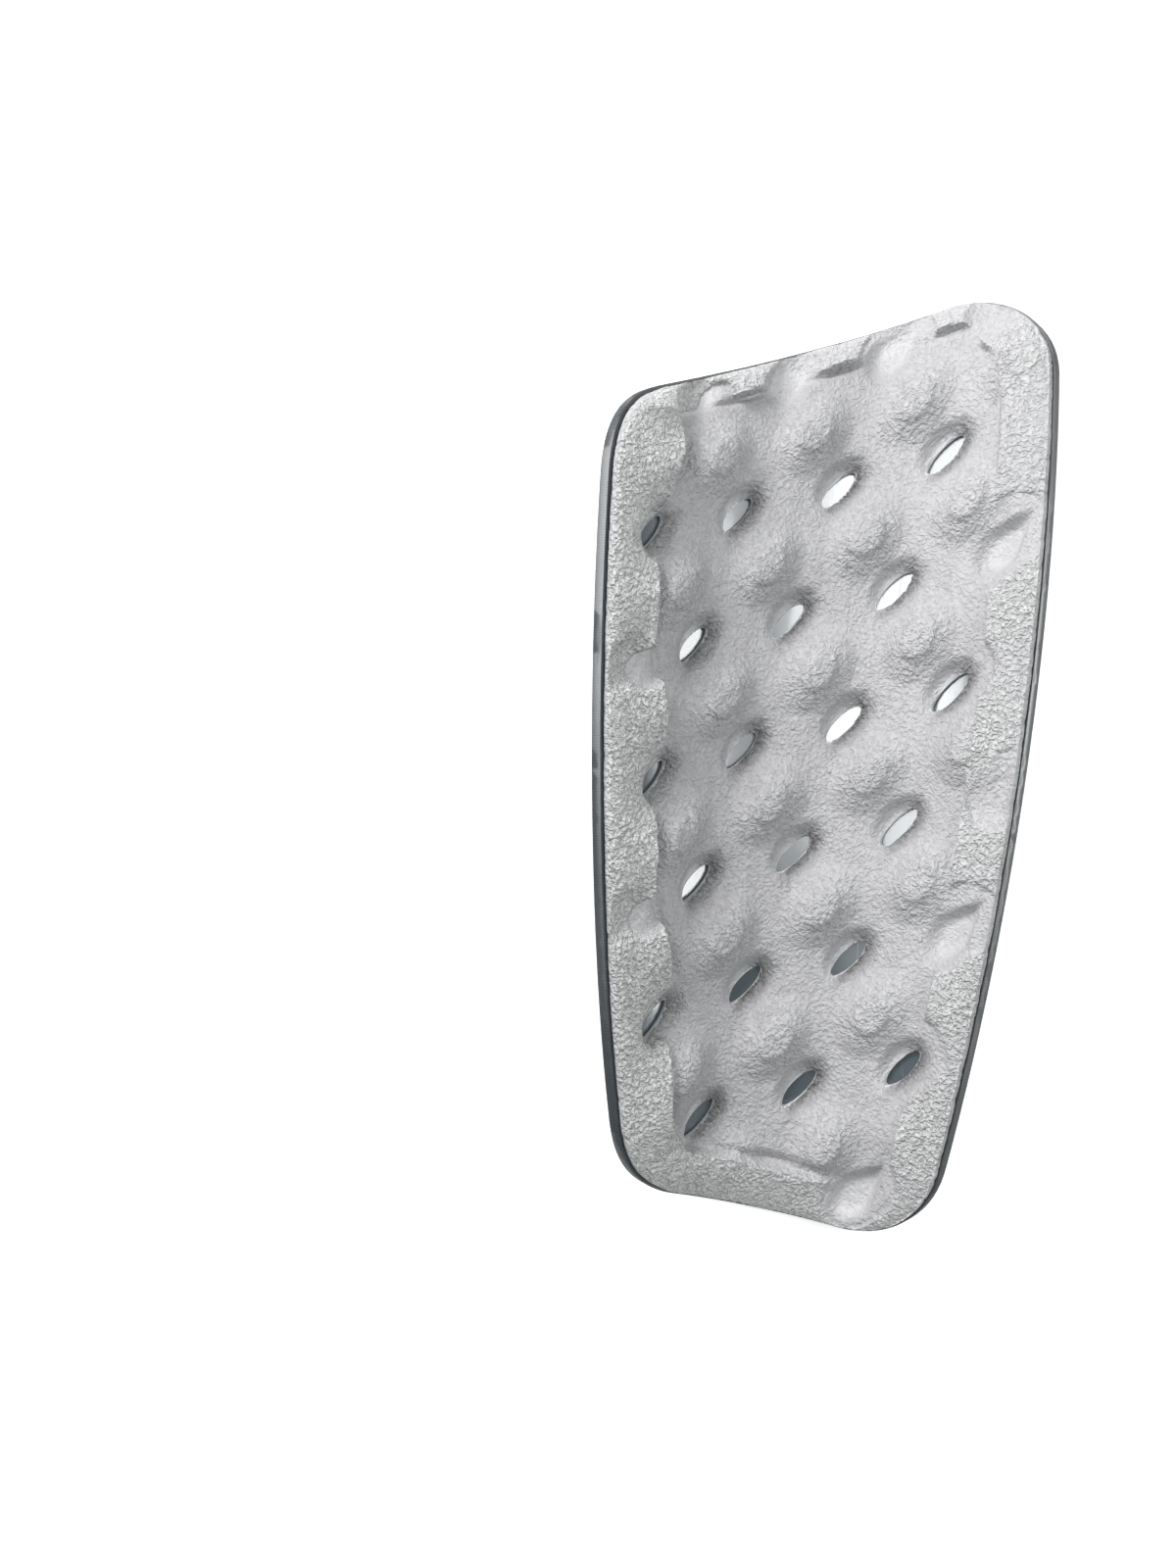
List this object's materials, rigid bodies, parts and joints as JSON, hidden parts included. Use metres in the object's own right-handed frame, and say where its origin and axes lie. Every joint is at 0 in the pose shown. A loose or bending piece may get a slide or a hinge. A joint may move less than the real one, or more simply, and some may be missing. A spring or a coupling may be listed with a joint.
{
  "type": "football shin guard",
  "caption": "Leg-shaped football shin guard: a thin hard trough-shaped shell with an embossed, slotted foam pad bonded inside it.",
  "frame": {"origin": "middle of the guard's bounding box, at the height of the surface that the shell's ridge lies on", "axes": "+Y along the leg towards the knee, +Z out of the padded side, +X towards the guard's long side"},
  "size_m": [0.1026, 0.223, 0.0302],
  "materials": {
    "shell_plastic": "thin glossy dark slate moulded plastic with a cut edge",
    "pad_foam": "matt near-white moulded foam with a pebbled skin"
  },
  "bodies": {
    "root": {"shell": "shell_plastic", "foam_pad": "pad_foam"}
  },
  "joints": []
}
